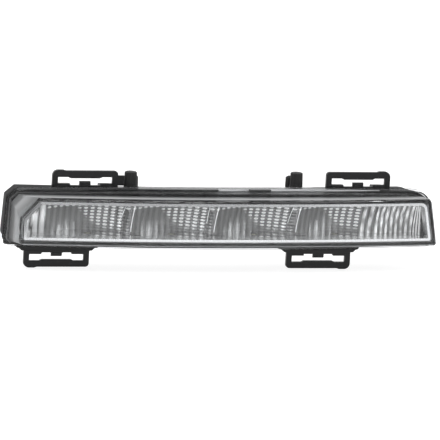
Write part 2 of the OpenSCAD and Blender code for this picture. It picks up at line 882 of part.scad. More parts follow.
// One snap frame: a foot that slides on the housing rails, and a loop with a snap tongue
window_h = 4.7;
module snap_frame(clip, web) {
  w = loop_w / 2;
  foot = clip[3] / 2;
  foot_h = clip[4];
  top = foot_h + clip[5];
  lintel = top - outer_bar;
  sill = lintel - window_h;
  front = -foot_d / 2;
  loop_pts = rounded(
    [
      [-w, foot_h - 2.4], [w, foot_h - 2.4], [w, top], [-w + 10, top], [-w + 8, top + 0.6],
      [-w, top + 0.6]
    ],
    [0, 0, 2.6, 0, 0, 4.2]
  );
  window_pts = [
    [-w + side_bar, sill], [-11.2, sill], [-11, sill - 1.3], [11, sill - 1.3], [11.2, sill],
    [w - side_bar, sill], [w - side_bar, lintel], [12.6, lintel], [10.8, lintel - 0.9],
    [-10.8, lintel - 0.9], [-12.6, lintel], [-w + side_bar, lintel]
  ];
  foot_pts = [
    [-foot, 0.2], [foot, 0.2], [foot, foot_h - 2.3], [foot - 2, foot_h - 1.9],
    [foot - 4, foot_h], [-foot + 4, foot_h], [-foot + 2, foot_h - 1.9], [-foot, foot_h - 2.3]
  ];
  color([0.13, 0.13, 0.14])
    at_clip(clip)
      difference() {
        union() {
          difference() {
            union() {
              facing(front, foot_d / 2) polygon(foot_pts);
              facing(front + 0.7, front + 0.7 + loop_t) polygon(loop_pts);
            }
            facing(front - 1, front + 0.7 + loop_t + 1) polygon(window_pts);
            if (clip[1] > 0)
              translate([-11, front + loop_t, 1.4])
                cube([22, foot_d, foot_h]);
          }
          translate([-snap_w / 2, 0, 0])
            rotate([90, 0, 90])
              linear_extrude(snap_w)
                polygon([
                  [front + 0.9, sill - 2.6], [front + loop_t, sill - 2.6],
                  [front + loop_t, sill + 1.6], [front + 1.8, sill + 1.6], [front + 0.9, sill + 0.6]
                ]);
          if (web)
            translate([w - 1, front + 1.4, foot_h - 0.8])
              cube([left_vent_x - sleeve_d / 2 - 0.3 - upper_left_x - w + 1, 1.8, 7.4]);
        }
        rails(clip, clear);
      }
}

module snap_frame_upper_left() { snap_frame(clips[0], true); }
module snap_frame_upper_right() { snap_frame(clips[1], false); }
module snap_frame_lower_left() { snap_frame(clips[2], false); }
module snap_frame_lower_right() { snap_frame(clips[3], false); }

// A breather: a sleeve on the housing spigot, and a shorter leg behind it that opens downward
module breather(x, way) {
  leg = [way * 2.6, 5.2];
  leg_d = 6.6;
  leg_h = sleeve_h - 4.4;
  color([0.1, 0.1, 0.1])
    on_arc(x) translate([0, vent_y, tub_top + clear])
      difference() {
        union() {
          cylinder(d = sleeve_d, h = sleeve_h - clear, $fn = round_fn);
          translate([leg[0], leg[1], 2])
            cylinder(d = leg_d, h = leg_h - 2 - leg_d / 2 + 1.6, $fn = round_fn);
          translate([leg[0], leg[1], leg_h - leg_d / 2 + 1.6])
            sphere(d = leg_d, $fn = round_fn);
          cylinder(d1 = sleeve_d + 2.4, d2 = sleeve_d - 0.6, h = 5, $fn = round_fn);
        }
        translate([0, 0, -1])
          cylinder(d = spigot_d + 0.1, h = 6.4, $fn = round_fn);
        translate([0, 0, 5])
          cylinder(d = spigot_bore, h = 4, $fn = round_fn);
        translate([leg[0], leg[1], 1])
          cylinder(d = 3.2, h = 6, $fn = round_fn);
      }
}

module breather_left() { breather(left_vent_x, 1); }
module breather_right() { breather(right_vent_x, -1); }

lens_cover();
lens_seal();
housing();
bezel();
reflector();
reflector_screws();
led_board();
led(0);  // led_1
led(1);  // led_2
led(2);  // led_3
led(3);  // led_4
heat_pad();
heat_sink();
heat_sink_gasket();
heat_sink_screws();
driver_board();
driver_screws();
choke_coil();
capacitor(-3.8, 8);  // capacitor_1
capacitor(4, -5);  // capacitor_2
driver_chip();
board_header();
connector_socket();
connector_gasket();
terminals();
snap_frame_upper_left();
snap_frame_upper_right();
snap_frame_lower_left();
snap_frame_lower_right();
breather_left();
breather_right();
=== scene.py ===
# %% [markdown]
# # A daytime running light from a car bumper
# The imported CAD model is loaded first. It is the frame: every piece below is in metres and in
# the same place as the solids, so nothing has to be fitted by eye. Solids whose shape is already
# right get a finish or rounded edges. The optics, which are too fine for the solids, and the
# thin bands that show through the clear cover are modelled here.

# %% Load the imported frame
import json
import math
import bmesh
import bpy
from mathutils import Matrix, Vector


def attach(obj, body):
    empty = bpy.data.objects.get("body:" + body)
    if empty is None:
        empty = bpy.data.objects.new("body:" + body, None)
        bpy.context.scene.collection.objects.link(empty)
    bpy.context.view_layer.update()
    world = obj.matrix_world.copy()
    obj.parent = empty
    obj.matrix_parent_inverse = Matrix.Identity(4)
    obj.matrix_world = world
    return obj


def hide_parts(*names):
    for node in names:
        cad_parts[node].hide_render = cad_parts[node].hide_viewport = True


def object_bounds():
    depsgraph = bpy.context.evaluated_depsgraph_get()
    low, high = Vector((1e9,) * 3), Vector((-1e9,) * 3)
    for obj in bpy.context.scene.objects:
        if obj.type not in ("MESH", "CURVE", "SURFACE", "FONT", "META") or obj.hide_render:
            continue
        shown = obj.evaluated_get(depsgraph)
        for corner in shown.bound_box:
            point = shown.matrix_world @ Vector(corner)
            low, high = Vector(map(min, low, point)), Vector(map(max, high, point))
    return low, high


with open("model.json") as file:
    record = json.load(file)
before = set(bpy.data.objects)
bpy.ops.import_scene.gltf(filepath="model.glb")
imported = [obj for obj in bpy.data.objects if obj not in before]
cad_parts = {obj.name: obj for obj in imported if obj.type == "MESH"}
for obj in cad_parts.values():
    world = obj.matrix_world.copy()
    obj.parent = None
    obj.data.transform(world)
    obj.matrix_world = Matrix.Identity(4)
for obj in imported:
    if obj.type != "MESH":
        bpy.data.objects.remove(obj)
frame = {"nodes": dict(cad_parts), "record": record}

NODES = frame["nodes"]
CAD_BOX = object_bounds()
scene = bpy.context.scene
MM = 0.001
print("nodes", len(NODES), "box", [round(c / MM, 1) for p in CAD_BOX for c in p])

# %% [markdown]
# ## The plan curve
# A bumper lamp follows the curve of the car's corner. Every depth on this lamp is counted from
# one arc of 1300 mm radius, so a single function that turns a place along the lamp, a depth and
# a height into a point is enough for all the pieces. Bending finished pieces with a modifier
# would also work, but then their place wouldn't be in their mesh.

# %% A point on the plan curve
PLAN_R = 1300.0


def at(x, depth, z):
    """The point in metres for a place along the lamp, a depth and a height in millimetres."""
    turn = math.asin(x / PLAN_R)
    r = PLAN_R - depth
    return Vector((r * math.sin(turn), PLAN_R - r * math.cos(turn), z)) * MM


def arc_frame(x):
    """The matrix that carries a shape along the arc, in millimetres, and turns it with it."""
    turn = math.asin(x / PLAN_R)
    back = Matrix.Translation((0, -PLAN_R, 0))
    return Matrix.Translation((0, PLAN_R, 0)) @ Matrix.Rotation(turn, 4, "Z") @ back


def depth_of(point):
    """How far behind the arc a point of a mesh lies, in metres."""
    return point.y - at(point.x / MM, 0, 0).y


print("middle of the flange", at(0, 0, 0), "right end", at(160, 0, 0))

# %% [markdown]
# ## Camera
# The photograph was taken with a long lens from a little to the left and ten degrees above, and
# turned so that the lamp lies level. A long lens far away keeps the two ends nearly the same
# size. The distance follows from the width that the frame shows, so the lens can be changed
# without a new framing.

# %% Camera at the photograph's angle
AZIMUTH = math.radians(-15)
ELEVATION = math.radians(10)
ROLL = math.radians(2.85)
LENS = 400.0
WIDTH_SEEN = 318.8 * MM
LOOK_AT = Vector((-3.8, 0.0, 1.5)) * MM

camera_data = bpy.data.cameras.new("camera")
camera_data.lens = LENS
camera = bpy.data.objects.new("camera", camera_data)
scene.collection.objects.link(camera)
to_camera = Vector((
    math.sin(AZIMUTH) * math.cos(ELEVATION),
    -math.cos(AZIMUTH) * math.cos(ELEVATION),
    math.sin(ELEVATION),
))
camera.location = LOOK_AT + to_camera * (WIDTH_SEEN * LENS / camera_data.sensor_width)
aim = (-to_camera).to_track_quat("-Z", "Y").to_matrix().to_4x4()
camera.rotation_euler = (aim @ Matrix.Rotation(ROLL, 4, "Z")).to_euler()
camera_data.clip_end = 100.0
scene.camera = camera
scene.view_settings.view_transform = "Standard"
print("camera distance", round((camera.location - LOOK_AT).length, 3), "m")

# %% [markdown]
# ## Small helpers for node trees
# A finish is a small tree of shader nodes. It could be drawn by hand in the shader editor; in a
# script a few helpers keep the trees as readable as that. One adds a node and sets its values,
# three add a node that is already linked, and the last starts a group with named sockets.

# %% Node helpers
def add(tree, kind, values=None, **settings):
    """Add a node with its settings and the values of its inputs."""
    node = tree.nodes.new(kind)
    for key, value in settings.items():
        setattr(node, key, value)
    for key, value in (values or {}).items():
        node.inputs[key].default_value = value
    return node


def ramp(tree, source, start, end, first, last, curve="LINEAR"):
    """Map Range: where the source runs from start to end, the output runs from first to last."""
    node = add(tree, "ShaderNodeMapRange", {1: start, 2: end, 3: first, 4: last},
               interpolation_type=curve)
    tree.links.new(source, node.inputs[0])
    return node.outputs[0]


def combined(tree, operation, one, two, clamp=False):
    """A Math node between two outputs."""
    node = add(tree, "ShaderNodeMath", operation=operation, use_clamp=clamp)
    tree.links.new(one, node.inputs[0])
    tree.links.new(two, node.inputs[1])
    return node.outputs[0]


def scaled(tree, colour, share):
    """A colour times a value."""
    node = add(tree, "ShaderNodeVectorMath", operation="SCALE")
    tree.links.new(colour, node.inputs[0])
    tree.links.new(share, node.inputs["Scale"])
    return node.outputs[0]


def new_group(name, inputs, outputs):
    """Start a node group; give its tree and the nodes that hold its inputs and outputs."""
    tree = bpy.data.node_groups.new(name, "ShaderNodeTree")
    for label, kind, value in inputs:
        tree.interface.new_socket(label, in_out="INPUT", socket_type=kind).default_value = value
    for label, kind in outputs:
        tree.interface.new_socket(label, in_out="OUTPUT", socket_type=kind)
    return tree, tree.nodes.new("NodeGroupInput"), tree.nodes.new("NodeGroupOutput")


print("helpers: add, ramp, combined, scaled, new_group")

# %% [markdown]
# ## Studio: the room
# The lamp lies in a plain white set. The camera sees the room white, but a mirror sees it as a
# studio is: bright behind the lamp and above it, darker in front, and with a white card at the
# right. That is what gives bright metal its grey tones, and each flute and pillow mirrors the
# card as one bright mark. A picture of a studio on the world would do the same. Three soft ramps
# over the directions do it without an image.

# %% World
ROOM = {  # axis of the world: where its ramp starts and ends, and its two levels
    "Y": (-0.2, 0.5, 0.26, 1.0),
    "Z": (0.15, 0.9, 0.0, 0.7),
    "X": (0.16, 0.6, 0.0, 0.36),
}
world = bpy.data.worlds.new("studio")
scene.world = world
world.use_nodes = True
tree = world.node_tree
tree.nodes.clear()
way = add(tree, "ShaderNodeTexCoord")
axes = add(tree, "ShaderNodeSeparateXYZ")
tree.links.new(way.outputs["Generated"], axes.inputs[0])
behind, above, card = (ramp(tree, axes.outputs[axis], *numbers, "SMOOTHSTEP")
                       for axis, numbers in ROOM.items())
sides = combined(tree, "ADD", above, card)
level = combined(tree, "ADD", behind, sides, clamp=True)
rays = add(tree, "ShaderNodeLightPath")
seen = combined(tree, "MAXIMUM", level, rays.outputs["Is Camera Ray"])
sky = add(tree, "ShaderNodeBackground", {"Strength": 1.0})
tree.links.new(seen, sky.inputs["Color"])
out = add(tree, "ShaderNodeOutputWorld")
tree.links.new(sky.outputs[0], out.inputs[0])
print("world nodes", len(tree.nodes))

# %% [markdown]
# ## Studio: the light
# Three large soft boxes light the lamp, one from above and one from each side. They are area
# lights, because a large light gives a soft shadow. A mirror would show them as hard white
# rectangles, so they are hidden from mirrors, which see the room alone.

# %% Soft boxes
SOFT_BOXES = {  # place and size in metres, and power in watts
    "box_above": ((-0.15, -0.55, 1.15), (1.4, 0.7), 7.0),
    "box_left": ((-1.25, -0.55, 0.25), (0.35, 0.9), 3.0),
    "box_right": ((1.2, -0.75, 0.35), (0.3, 0.9), 2.5),
}


def soft_box(name, place, size, power):
    """A rectangular light that looks at the lamp."""
    data = bpy.data.lights.new(name, "AREA")
    data.shape = "RECTANGLE"
    data.size, data.size_y = size
    data.energy = power
    lamp = bpy.data.objects.new(name, data)
    lamp.location = place
    lamp.rotation_euler = (-Vector(place)).to_track_quat("-Z", "Y").to_euler()
    lamp.visible_glossy = False
    scene.collection.objects.link(lamp)


for name, (place, size, power) in SOFT_BOXES.items():
    soft_box(name, place, size, power)
print("soft boxes", len(SOFT_BOXES))

# %% [markdown]
# ## Studio: the floor
# The lamp lies on a large sheet of paper, which is one flat square. Its top is a hair below the
# lamp, because two faces in the same place would flicker.

# %% Floor sheet
FLOOR_GAP = 0.0002
floor_mesh = bpy.data.meshes.new("floor")
bm = bmesh.new()
bmesh.ops.create_grid(bm, x_segments=1, y_segments=1, size=20.0)
bm.to_mesh(floor_mesh)
bm.free()
floor_mesh.transform(Matrix.Translation((0, 0, CAD_BOX[0].z - FLOOR_GAP)))
floor = bpy.data.objects.new("floor", floor_mesh)
scene.collection.objects.link(floor)
print("floor at", round((CAD_BOX[0].z - FLOOR_GAP) / MM, 2), "mm")

# %% [markdown]
# ## White paper
# The paper has to look white under little light, or the light on the lamp would be too strong.
# So it glows by itself for the camera and for rays that come through the clear cover, and a
# matte part on top of the glow keeps the lamp's shadow. A mirror sees the paper darker in front
# of the lamp and lighter at the right, as the room is.

# %% Floor paper
WHITE = 0.86
PAPER_GREY = (0.36, 0.36, 0.36, 1)
NEAR_RAMP = (-0.4, -0.1, 0.32, 0.74)
CARD_RAMP = (0.2, 0.45, 0.0, 0.35)
paper = bpy.data.materials.new("floor_paper")
paper.use_nodes = True
tree = paper.node_tree
tree.nodes.clear()
rays = add(tree, "ShaderNodeLightPath")
direct = combined(tree, "MAXIMUM", rays.outputs["Is Camera Ray"],
                  rays.outputs["Is Transmission Ray"])
place = add(tree, "ShaderNodeTexCoord")
axes = add(tree, "ShaderNodeSeparateXYZ")
tree.links.new(place.outputs["Object"], axes.inputs[0])
near = ramp(tree, axes.outputs["Y"], *NEAR_RAMP, "SMOOTHSTEP")
card = ramp(tree, axes.outputs["X"], *CARD_RAMP, "SMOOTHSTEP")
lit = combined(tree, "MAXIMUM", near, card)
mirrored = combined(tree, "MULTIPLY", rays.outputs["Is Glossy Ray"], lit)
shown = combined(tree, "MAXIMUM", direct, mirrored)
white = add(tree, "ShaderNodeMath", {1: WHITE}, operation="MULTIPLY")
tree.links.new(shown, white.inputs[0])
glow = add(tree, "ShaderNodeEmission", {"Color": (1, 1, 1, 1)})
tree.links.new(white.outputs[0], glow.inputs["Strength"])
matte = add(tree, "ShaderNodeBsdfDiffuse", {"Color": PAPER_GREY})
both = add(tree, "ShaderNodeAddShader")
tree.links.new(glow.outputs[0], both.inputs[0])
tree.links.new(matte.outputs[0], both.inputs[1])
out = add(tree, "ShaderNodeOutputMaterial")
tree.links.new(both.outputs[0], out.inputs[0])
floor_mesh.materials.append(paper)
print("paper nodes", len(tree.nodes))

# %% [markdown]
# ## One group for every moulded or cast surface
# No real part is one flat colour: a mould leaves a fine grain, and handling leaves broad, faint
# patches. Both could be painted, but noise on Object coordinates needs no picture and stays
# fixed to the piece. The group puts out a height for the bump and a patch value for the colour
# and the roughness, and each material sets its own scales.

# %% Surface group
SURFACE, g_in, g_out = new_group(
    "grain_and_patches",
    [("Grain Scale", "NodeSocketFloat", 900.0), ("Patch Scale", "NodeSocketFloat", 30.0)],
    [("Height", "NodeSocketFloat"), ("Patch", "NodeSocketFloat")],
)
coords = add(SURFACE, "ShaderNodeTexCoord")
grain = add(SURFACE, "ShaderNodeTexNoise", {"Detail": 3.0, "Roughness": 0.6})
SURFACE.links.new(coords.outputs["Object"], grain.inputs["Vector"])
SURFACE.links.new(g_in.outputs["Grain Scale"], grain.inputs["Scale"])
patch = add(SURFACE, "ShaderNodeTexNoise", {"Detail": 4.0, "Roughness": 0.55})
SURFACE.links.new(coords.outputs["Object"], patch.inputs["Vector"])
SURFACE.links.new(g_in.outputs["Patch Scale"], patch.inputs["Scale"])
SURFACE.links.new(grain.outputs["Fac"], g_out.inputs["Height"])
SURFACE.links.new(patch.outputs["Fac"], g_out.inputs["Patch"])
print("surface group", SURFACE.name, "with", len(SURFACE.nodes), "nodes")


# %% [markdown]
# ## Opaque finishes
# One recipe serves them all: the patch value moves the colour a little lighter and darker and
# the gloss a little up and down, and the grain feeds a bump. Plastic, rubber and metal differ
# in their numbers: how dark, how metallic, how rough, how coarse the grain. A finish may also
# fade along a direction, as a coating does that was sprayed from one side. The fade reads
# Object coordinates, so it stays on the piece wherever the camera goes.

# %% Opaque recipe
NOISE_RANGE = (0.3, 0.7)  # between these lies nearly all of a noise
PATCH_SCALE = 30.0
BUMP_DISTANCE = 0.0001
MATERIALS = {}


def opaque(name, colour, rough, metallic=0.0, grain=900.0, bump=0.15, vary=0.2, specular=0.5,
           fades=()):
    """A finish; a fade is a direction, its start and end in mm and the share left at the end."""
    mat = bpy.data.materials.new(name)
    mat.use_nodes = True
    tree = mat.node_tree
    bsdf = tree.nodes["Principled BSDF"]
    bsdf.inputs["Metallic"].default_value = metallic
    bsdf.inputs["Specular IOR Level"].default_value = specular
    surface = add(tree, "ShaderNodeGroup", node_tree=SURFACE)
    surface.inputs["Grain Scale"].default_value = grain
    surface.inputs["Patch Scale"].default_value = PATCH_SCALE
    tone = add(tree, "ShaderNodeMix", data_type="RGBA")
    tone.inputs[6].default_value = [c * (1 - vary) for c in colour] + [1]
    tone.inputs[7].default_value = [min(c * (1 + vary), 1) for c in colour] + [1]
    tree.links.new(surface.outputs["Patch"], tone.inputs["Factor"])
    gloss = ramp(tree, surface.outputs["Patch"], *NOISE_RANGE, rough * 0.85, rough * 1.15)
    relief = add(tree, "ShaderNodeBump", {"Strength": bump, "Distance": BUMP_DISTANCE})
    tree.links.new(surface.outputs["Height"], relief.inputs["Height"])
    tree.links.new(gloss, bsdf.inputs["Roughness"])
    tree.links.new(relief.outputs[0], bsdf.inputs["Normal"])
    shade = tone.outputs[2]
    for direction, start, end, left in fades:
        place = add(tree, "ShaderNodeTexCoord")
        along = add(tree, "ShaderNodeVectorMath", {1: direction}, operation="DOT_PRODUCT")
        tree.links.new(place.outputs["Object"], along.inputs[0])
        share = ramp(tree, along.outputs["Value"], start * MM, end * MM, 1.0, left)
        shade = scaled(tree, shade, share)
    tree.links.new(shade, bsdf.inputs["Base Color"])
    return mat


def make_finishes(rows):
    """Make one material for each row of a table and print their names."""
    for name, row in rows.items():
        MATERIALS[name] = opaque(name, **row)
    print("finishes:", ", ".join(rows))


print("patches of about", round(1 / PATCH_SCALE / MM), "mm, bumps up to", BUMP_DISTANCE / MM, "mm")

# %% [markdown]
# ## Black plastic, rubber and sealant
# The tub, the snap frames and the breathers are black but not equally so: the tub is matte, the
# frames shine a little, and the polished roof shines most. The mask on the cover's edge is the
# darkest. The sealant in the rim is grey, and it is painted darker upward and toward the left
# end, a painted shade for the light that the rim mirrors less of there. Each finish could be a
# function of its own, but a table shows at a glance how they differ.

# %% Black and grey finishes
BLACK = (0.018, 0.018, 0.019)
UP_LEFT = (-0.08, 0, 1)
ALONG = (1, 0, 0)
make_finishes({
    "black_housing": dict(colour=BLACK, rough=0.5, grain=1400, specular=0.04),
    "snap_black": dict(colour=(0.012, 0.0122, 0.013), rough=0.36, grain=1600, bump=0.2,
                       specular=0.4),
    "breather_rubber": dict(colour=(0.018, 0.018, 0.018), rough=0.6, grain=1100, bump=0.4),
    "seal_rubber": dict(colour=(0.24, 0.24, 0.24), rough=0.6, grain=700, bump=0.3),
    # The fades of rim_bond are painted shade, darker upward and toward the left end.
    "rim_bond": dict(colour=(0.48, 0.48, 0.48), rough=0.5, grain=700, bump=0.2, vary=0.12,
                     fades=[(UP_LEFT, -5, 24, 0.5), (ALONG, -40, -125, 0.3)]),
    "polished_black": dict(colour=BLACK, rough=0.14, grain=1400, bump=0.01, specular=0.25),
    "edge_mask": dict(colour=(0.006, 0.006, 0.006), rough=0.8, specular=0.05),
    # pale_bond is a painted highlight for the front walls of the rim's cuts.
    "pale_bond": dict(colour=(0.7, 0.7, 0.7), rough=0.5, grain=700, bump=0.2, vary=0.1),
})

# %% [markdown]
# ## Bright coatings and metals
# The bezel and the reflector are plastic with a thin coat of metal, which is laid on as vapour.
# The bezel's colour grows darker upward and a little toward the left. The coat has next to no
# grain, apart from the satin one of the bezel's skirt. Screws, the sink, the cans and the pins are
# solid metal, with a grain that comes from the rolling or the casting. A metallic value of 1
# makes either kind; only the numbers for gloss and grain tell them apart.

# %% Bright finishes
make_finishes({
    "bright_coating": dict(colour=(0.7, 0.7, 0.7), rough=0.07, metallic=1.0, grain=300,
                           bump=0.003, vary=0.05),
    "bezel_coating": dict(colour=(0.82, 0.82, 0.82), rough=0.24, metallic=1.0, grain=300,
                          bump=0.003, vary=0.05, fades=[(UP_LEFT, -4, 14, 0.45)]),
    "satin_coating": dict(colour=(0.4, 0.405, 0.41), rough=0.36, metallic=0.6, grain=500,
                          bump=0.1, vary=0.12),
    "plated_steel": dict(colour=(0.6, 0.6, 0.58), rough=0.3, metallic=1.0, grain=1500, bump=0.1),
    "cast_aluminium": dict(colour=(0.6, 0.6, 0.61), rough=0.42, metallic=1.0, grain=1200,
                           bump=0.5, vary=0.1),
    "can_aluminium": dict(colour=(0.66, 0.66, 0.68), rough=0.25, metallic=1.0, bump=0.1),
    "terminal_brass": dict(colour=(0.7, 0.52, 0.22), rough=0.28, metallic=1.0, grain=1500,
                           bump=0.1),
})

# %% [markdown]
# ## Boards and small parts
# The parts inside hardly show, but they are finished too, because the model can be opened: a
# white board for the light sources, a green one for the driver, a soft pad, a coil and black
# mouldings. The same recipe is enough for them.

# %% Finishes inside
make_finishes({
    "white_board": dict(colour=(0.8, 0.8, 0.77), rough=0.35, grain=400, vary=0.05),
    "light_source": dict(colour=(0.8, 0.78, 0.66), rough=0.3, grain=2000, vary=0.1),
    "pad_rubber": dict(colour=(0.4, 0.42, 0.45), rough=0.6, grain=800),
    "green_board": dict(colour=(0.02, 0.12, 0.05), rough=0.3, grain=500),
    "coil_body": dict(colour=(0.1, 0.085, 0.07), rough=0.5),
    "black_moulding": dict(colour=(0.02, 0.02, 0.021), rough=0.3, grain=1500),
})

# %% [markdown]
# ## Coating on the optics, with painted highlights and painted shade
# The crowns of the flutes and pillows are painted bright, a painted highlight, and the valleys
# between them are painted grey, a painted shade. The pieces carry that as an attribute called
# crown, which moves the colour and the gloss. The brightest crowns also glow faintly: a painted
# glint, which stands for the many small things that they mirror in a real studio. An image
# texture could hold the pattern as well, but an attribute needs no unwrapping.

# %% Optic coating
# Painted shade for the valleys and painted highlight for the crowns.
PAINTED_VALLEY_SHADE = (0.36, 0.36, 0.36, 1)
PAINTED_CROWN_HIGHLIGHT = (1.0, 1.0, 1.0, 1)
PAINTED_GLINT_FROM, PAINTED_GLINT = 0.55, 0.38
optic = bpy.data.materials.new("optic_coating")
optic.use_nodes = True
tree = optic.node_tree
bsdf = tree.nodes["Principled BSDF"]
bsdf.inputs["Metallic"].default_value = 1.0
bsdf.inputs["Emission Strength"].default_value = 1.0
crown = add(tree, "ShaderNodeAttribute", attribute_name="crown").outputs["Fac"]
surface = add(tree, "ShaderNodeGroup", {"Grain Scale": 300.0, "Patch Scale": 40.0},
              node_tree=SURFACE)
tone = add(tree, "ShaderNodeMix", {6: PAINTED_VALLEY_SHADE, 7: PAINTED_CROWN_HIGHLIGHT}, data_type="RGBA")
tree.links.new(crown, tone.inputs["Factor"])
uneven = ramp(tree, surface.outputs["Patch"], *NOISE_RANGE, 0.9, 1.1)
tree.links.new(scaled(tree, tone.outputs[2], uneven), bsdf.inputs["Base Color"])
tree.links.new(ramp(tree, crown, 0.0, 1.0, 0.3, 0.36), bsdf.inputs["Roughness"])
# The brightest crowns glow: a painted glint.
tree.links.new(ramp(tree, crown, PAINTED_GLINT_FROM, 1.0, 0.0, PAINTED_GLINT), bsdf.inputs["Emission Color"])
MATERIALS["optic_coating"] = optic
print("optic coating nodes", len(tree.nodes))

# %% [markdown]
# ## The clear cover
# Injection-moulded polycarbonate: smooth, faintly wavy, and slightly duller where it has been
# wiped. It is a real glass shader, so its walls bend the view of the reflector as the real ones
# do. A plain see-through shader would be faster but would show no walls. Light that falls
# through glass onto the reflector would be lost as caustics, so shadow rays pass through a
# transparent shader instead.

# %% Clear cover material
CLEAR = (0.93, 0.94, 0.95, 1)
SHADOW_TINT = (0.9, 0.91, 0.92, 1)
clear = bpy.data.materials.new("clear_cover")
clear.use_nodes = True
tree = clear.node_tree
bsdf = tree.nodes["Principled BSDF"]
bsdf.inputs["Transmission Weight"].default_value = 1.0
bsdf.inputs["IOR"].default_value = 1.45
bsdf.inputs["Base Color"].default_value = CLEAR
surface = add(tree, "ShaderNodeGroup", {"Grain Scale": 60.0, "Patch Scale": 45.0},
              node_tree=SURFACE)
gloss = ramp(tree, surface.outputs["Patch"], 0.35, 0.75, 0.0, 0.05)
tree.links.new(gloss, bsdf.inputs["Roughness"])
relief = add(tree, "ShaderNodeBump", {"Strength": 0.01, "Distance": 0.0005})
tree.links.new(surface.outputs["Height"], relief.inputs["Height"])
tree.links.new(relief.outputs[0], bsdf.inputs["Normal"])
rays = add(tree, "ShaderNodeLightPath")
through = add(tree, "ShaderNodeBsdfTransparent", {"Color": SHADOW_TINT})
either = add(tree, "ShaderNodeMixShader")
tree.links.new(rays.outputs["Is Shadow Ray"], either.inputs[0])
tree.links.new(bsdf.outputs[0], either.inputs[1])
tree.links.new(through.outputs[0], either.inputs[2])
tree.links.new(either.outputs[0], tree.nodes["Material Output"].inputs[0])
MATERIALS["clear_cover"] = clear
print("materials", len(MATERIALS))


# %% [markdown]
# ## Pieces
# Every piece is finished the same way: its mesh goes into an object at the origin, it gets the
# material of its slot, and it rides on the lamp's one body.
# That could be written out for each piece. One function makes sure that none is forgotten. The
# solids whose shape is right already only get the material of their slot.

# %% Finish a piece
def finish_piece(name, mesh, slot, replaces=(), smooth=35.0):
    """Make a mesh a piece of the lamp; edges sharper than smooth, in degrees, stay sharp."""
    obj = bpy.data.objects.new(name, mesh)
    scene.collection.objects.link(obj)
    mesh.materials.clear()
    mesh.materials.append(MATERIALS[slot])
    mesh.shade_smooth()
    mesh.set_sharp_from_angle(angle=math.radians(smooth))
    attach(obj, "root")
    if replaces:
        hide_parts(*replaces)
    return obj


print("every piece rides on the body root")

# %% Finish the solids whose shape is right
SLOTS = {part["node"]: part["material_slot"] for part in frame["record"]["subparts"]}
for name, node in NODES.items():
    node.data.materials.clear()
    node.data.materials.append(MATERIALS[SLOTS[name]])
print("solids with a finish", len(SLOTS))

# %% [markdown]
# ## Rounded edges
# A moulded part has no knife edges: every edge has a radius that catches a line of light. A copy
# of the solid is merged, its flat faces are joined again, and a Bevel modifier rounds the edges.
# Modelling each radius in the solids would cost thousands of faces there.

# %% Rounded copies of solids
EDGE_RADII = {  # millimetres
    "snap_frame_upper_left": 0.45, "snap_frame_upper_right": 0.45,
    "snap_frame_lower_left": 0.45, "snap_frame_lower_right": 0.45,
    "lens_cover": 0.5, "housing": 0.3, "bezel": 0.8, "connector_socket": 0.3, "heat_sink": 0.2,
}
EDGE_ANGLE = 32.0
FLAT_ANGLE = 0.5
MERGE_DISTANCE = 3e-6
OWN_FINISH = {"bezel": "bezel_coating"}


def rounded_copy(node, width):
    """A copy of a solid with rounded edges, which takes the solid's place."""
    mesh = NODES[node].data.copy()
    bm = bmesh.new()
    bm.from_mesh(mesh)
    bmesh.ops.remove_doubles(bm, verts=bm.verts, dist=MERGE_DISTANCE)
    bmesh.ops.dissolve_limit(bm, angle_limit=math.radians(FLAT_ANGLE), verts=bm.verts,
                             edges=bm.edges)
    bm.to_mesh(mesh)
    bm.free()
    finish = OWN_FINISH.get(node, SLOTS[node])
    obj = finish_piece(node + "_rounded", mesh, finish, (node,), EDGE_ANGLE)
    bevel = obj.modifiers.new("rounded edges", "BEVEL")
    bevel.width = width * MM
    bevel.segments = 2
    bevel.limit_method = "ANGLE"
    bevel.angle_limit = math.radians(EDGE_ANGLE)
    bevel.harden_normals = True
    return obj


for node, radius in EDGE_RADII.items():
    obj = rounded_copy(node, radius)
    print(node, "edges rounded", len(obj.data.polygons), "faces")

# %% [markdown]
# ## Polished roof
# The roof of the housing comes from a polished part of the mould and the rest from a grained
# one. Seen at a low angle the polish mirrors the white set, so the roof reads as a pale line
# above the black rim. bisect_plane cuts the copy where the polish ends at the right, and the
# faces that look upward there get a second material. The small front walls in the cuts of the
# rim get a third, pale one, a painted highlight that shows through the flange as a light line.
# A mask in the shader could separate the finishes as well, but faces keep them apart with a
# clean edge.

# %% Polished faces and the pale walls of the rim's cuts
POLISH_FROM, POLISH_TO = -0.02, 0.105
CUTS_ABOVE = 19.5 * MM
CUTS_FROM, CUTS_TO = 2.2 * MM, 4.2 * MM
shell = bpy.data.objects["housing_rounded"].data
shell.materials.append(MATERIALS["polished_black"])
shell.materials.append(MATERIALS["pale_bond"])
bm = bmesh.new()
bm.from_mesh(shell)
bmesh.ops.bisect_plane(bm, geom=bm.verts[:] + bm.edges[:] + bm.faces[:], dist=1e-7,
                       plane_co=(POLISH_TO, 0, 0), plane_no=(1, 0, 0))
bm.to_mesh(shell)
bm.free()
polished, pale = 0, 0
for face in shell.polygons:
    upward = face.normal.z > 0.8
    forward = face.normal.y < -0.9
    if upward and POLISH_FROM < face.center.x < POLISH_TO:
        face.material_index = 1
        polished += 1
    # Front walls in the rim's cuts get the painted highlight.
    elif forward and face.center.z > CUTS_ABOVE and CUTS_FROM < depth_of(face.center) < CUTS_TO:
        face.material_index = 2
        pale += 1
print("polished faces", polished, "pale faces", pale)

# %% [markdown]
# ## Masked edge of the cover
# A clear flange would let the light in at its outer edge and look like a white line around the
# lamp. Its edge is masked black instead, so that the lamp has a dark outline from every side.
# The faces of the edge are the ones at half the flange's depth that look straight outward. A
# separate black band would do too, but it would stand outside the lamp's box.

